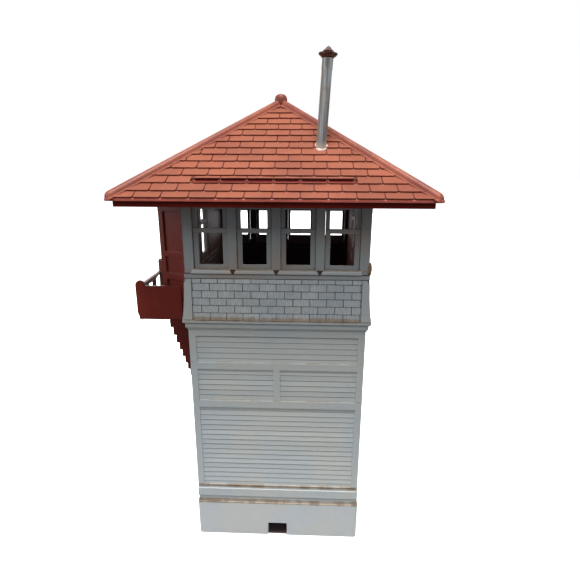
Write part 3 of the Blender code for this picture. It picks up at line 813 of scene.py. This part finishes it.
def finial():
    piece = Piece("roof_finial_turned")
    low = APEX - 1.2
    profile = (
        (0.4, low), (1.74, low), (1.84, low + 0.5), (1.86, low + 1.1), (1.84, low + 1.9), (1.78, low + 2.3),
        (1.62, low + 2.75), (1.34, low + 3.1), (0.98, low + 3.32), (0.5, low + 3.42), (0.2, low + 3.45),
    )
    turned(piece, profile, Matrix.Identity(4))
    made = piece.done("roof", hip_red, ["roof_finial"], smooth=True)
    made.modifiers.new("crisp", "EDGE_SPLIT").split_angle = math.radians(60)


def smoke_pipe():
    """A faceted pipe with a thicker lip under its cap and a ring of glue at its foot."""
    foot_low, foot_high = millimetres("smoke_pipe")
    cap_low, cap_high = millimetres("smoke_pipe_cap")
    tower = Vector((0, TOWER_Y, 0))
    foot = Vector((foot_low.x + 1.3, (foot_low.y + foot_high.y) / 2, foot_low.z + 0.9)) - tower
    top = Vector(((cap_low.x + cap_high.x) / 2, (cap_low.y + cap_high.y) / 2, cap_low.z)) - tower
    lean = (top - foot).to_track_quat("Z", "Y").to_matrix().to_4x4()
    at_top = Matrix.Translation(top) @ lean
    length = (top - foot).length
    piece = Piece("smoke_pipe_faceted")
    turned(piece, ((1.34, -length - 1.2), (1.34, -2.6), (1.4, -2.4), (1.4, -0.1), (1.3, 0.15)), at_top, 14)
    made = piece.done("roof", pipe_grey, ["smoke_pipe"], bevel=0.1, smooth=True, angle=20)
    made.modifiers.new("crisp", "EDGE_SPLIT").split_angle = math.radians(24)

    cap = Piece("smoke_pipe_cap_turned")
    profile = (
        (0.4, 0.05), (1.4, 0.05), (1.62, 0.25), (2.2, 0.72), (2.38, 0.92), (2.36, 1.12), (2.1, 1.2),
        (1.5, 0.85), (0.9, 0.7), (0.55, 0.7), (0.5, 1.35), (1.1, 1.4), (1.36, 1.5), (1.38, 1.65), (1.0, 1.95),
        (0.62, 2.35), (0.25, 2.68), (0.08, 2.74),
    )
    turned(cap, profile, at_top, 28)
    for n in range(4):
        angle = math.pi / 4 + n * math.pi / 2
        stay = Matrix.Translation((1.05 * math.cos(angle), 1.05 * math.sin(angle), 0))
        turned(cap, ((0.14, 0.7), (0.14, 1.55)), at_top @ stay, 8)
    made = cap.done("roof", cap_brown, ["smoke_pipe_cap"], smooth=True)
    made.modifiers.new("crisp", "EDGE_SPLIT").split_angle = math.radians(50)

    ring = Piece("smoke_pipe_glue")
    loops = []
    for n in range(28):
        angle = 2 * math.pi * n / 28
        loop = []
        for m in range(8):
            turn = 2 * math.pi * m / 8
            thick = 0.3 + 0.12 * math.sin(3 * angle + 1)
            radius = 1.42 + thick * math.cos(turn)
            x, y = foot.x + radius * math.cos(angle), foot.y + radius * math.sin(angle)
            surface = EAVE + (ROOF_HALF + y) * math.tan(ROOF_ANGLE)
            loop.append((x, y, surface + 0.2 + thick * math.sin(turn)))
        loops.append(loop)
    ring.loft(loops, closed=True)
    ring.done("roof", pale_glue, smooth=True)


def glue_blob():
    """A lump of old glue at the front right corner, above the sill belt."""
    piece = Piece("corner_glue")
    made = bmesh.ops.create_icosphere(piece.bm, subdivisions=3, radius=1.0)
    for vert in made["verts"]:
        x, y, z = vert.co
        lump = 1 + 0.16 * math.sin(5 * x + 2) * math.cos(4 * z) + 0.1 * math.sin(7 * y)
        spot = vert.co * lump
        vert.co = Vector((25.05 + 0.62 * spot.x, -24.7 + 0.6 * spot.y, 88.8 + 1.75 * spot.z))
    piece.done("tower", old_glue, smooth=True)


for side in SIDES:
    lower_wall(side)
    tiles(side)
belt()
for side in SIDES[:3]:
    skirt(side + "_skirt_shingles", side, None, None, side + "_skirt")
skirt("left_skirt_shingles", "left", None, DOORWAY[0], "left_skirt")
skirt("left_corner_shingles", "left", DOORWAY[1], None, "left_skirt_corner")

bays = [POST_PITCH * (n - 1.5) for n in range(4)]
for side in SIDES:
    sills(side, {"left": bays[2:3], "right": bays[:3]}.get(side, bays))
slot_trim()
for hip, (sign_x, sign_y) in HIPS.items():
    hip_roll(hip, sign_x, sign_y)
finial()
smoke_pipe()
glue_blob()

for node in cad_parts:
    if "window" in node or "sill_belt" in node or node == "door_frame":
        dress(node, upper_grey_shaded, 0.09)
dress("foundation", plinth_grey, 0.14)
dress("operator_floor", floor_brown)
dress("door_leaf", stair_red, 0.08)
for node in ("landing_deck", "landing_apron", "stair_flight"):
    dress(node, stair_red, 0.1)
for node in ("landing_side_rail", "landing_newel", "stair_handrail"):
    dress(node, rail_brown, 0.1)
dress("roof_shell", eave_red, 0.1)
dress("roof_fascia", fascia_red, 0.1)
dress("roof_soffit", fascia_red, 0.08)


# ---------------------------------------------------------------- floor, light and camera


def stage_floor():
    mesh = bpy.data.meshes.new("floor")
    reach = 3.0
    corners = [(-reach, -reach, 0), (reach, -reach, 0), (reach, reach, 0), (-reach, reach, 0)]
    mesh.from_pydata(corners, [], [(0, 1, 2, 3)])
    mesh.materials.append(floor_look())
    made = bpy.data.objects.new("floor", mesh)
    bpy.context.scene.collection.objects.link(made)
    made.location.z = -0.0002
    made.visible_diffuse = False
    made.visible_glossy = False


def soft_light(name, azimuth, elevation, size, level):
    """A square soft light. LEVEL is how bright it makes a white surface that faces it."""
    data = bpy.data.lights.new(name, "AREA")
    data.size = size
    data.energy = level * math.pi**2 * LIGHT_DISTANCE**2
    made = bpy.data.objects.new(name, data)
    bpy.context.scene.collection.objects.link(made)
    a, e = math.radians(azimuth), math.radians(elevation)
    away = Vector((math.sin(a) * math.cos(e), -math.cos(a) * math.cos(e), math.sin(e)))
    made.location = Vector((0, TOWER_Y * MM, 0.08)) + away * LIGHT_DISTANCE
    made.rotation_mode = "QUATERNION"
    made.rotation_quaternion = away.to_track_quat("Z", "Y")


def studio():
    """A background that is white to the camera and gives a weak fill, and five soft lights."""
    world = bpy.data.worlds.new("studio")
    bpy.context.scene.world = world
    world.use_nodes = True
    tree = world.node_tree
    fill = tree.nodes["Background"]
    fill.inputs["Color"].default_value = (0.96, 0.98, 1.0, 1)
    fill.inputs["Strength"].default_value = 0.16
    white = tree.nodes.new("ShaderNodeBackground")
    white.inputs["Color"].default_value = (1, 1, 1, 1)
    seen = tree.nodes.new("ShaderNodeLightPath")
    mix = tree.nodes.new("ShaderNodeMixShader")
    tree.links.new(seen.outputs["Is Camera Ray"], mix.inputs[0])
    tree.links.new(fill.outputs[0], mix.inputs[1])
    tree.links.new(white.outputs[0], mix.inputs[2])
    tree.links.new(mix.outputs[0], tree.nodes["World Output"].inputs["Surface"])
    soft_light("key", 0, 76, 0.28, 1.95)
    soft_light("front", 0, 42, 0.5, 0.28)
    soft_light("back", 180, 20, 0.8, 0.6)
    soft_light("left", -80, 18, 0.6, 0.5)
    soft_light("right", 80, 18, 0.6, 0.32)
    bpy.context.scene.view_settings.view_transform = "Standard"


def camera():
    """The photographer's camera, fitted to the building's edges. Its place is in metres from the tower's
    axis and the ground."""
    pitch, yaw, roll = 0.2814, 0.0347, 0.0041
    right_of, in_front, height = 0.007656, 0.13749, 0.11535
    data = bpy.data.cameras.new("camera")
    data.sensor_width = 36
    data.lens = 26.66
    data.clip_start = 0.01
    data.clip_end = 10
    made = bpy.data.objects.new("camera", data)
    bpy.context.scene.collection.objects.link(made)
    level = Vector((math.cos(yaw), math.sin(yaw), 0))
    forward = Vector((-math.sin(yaw) * math.cos(pitch), math.cos(yaw) * math.cos(pitch), -math.sin(pitch)))
    upward = level.cross(forward)
    right = math.cos(roll) * level + math.sin(roll) * upward
    up = -math.sin(roll) * level + math.cos(roll) * upward
    turn = Matrix((right, up, -forward)).transposed().to_4x4()
    made.matrix_world = Matrix.Translation((right_of, TOWER_Y * MM - in_front, height)) @ turn
    bpy.context.scene.camera = made


stage_floor()
studio()
camera()
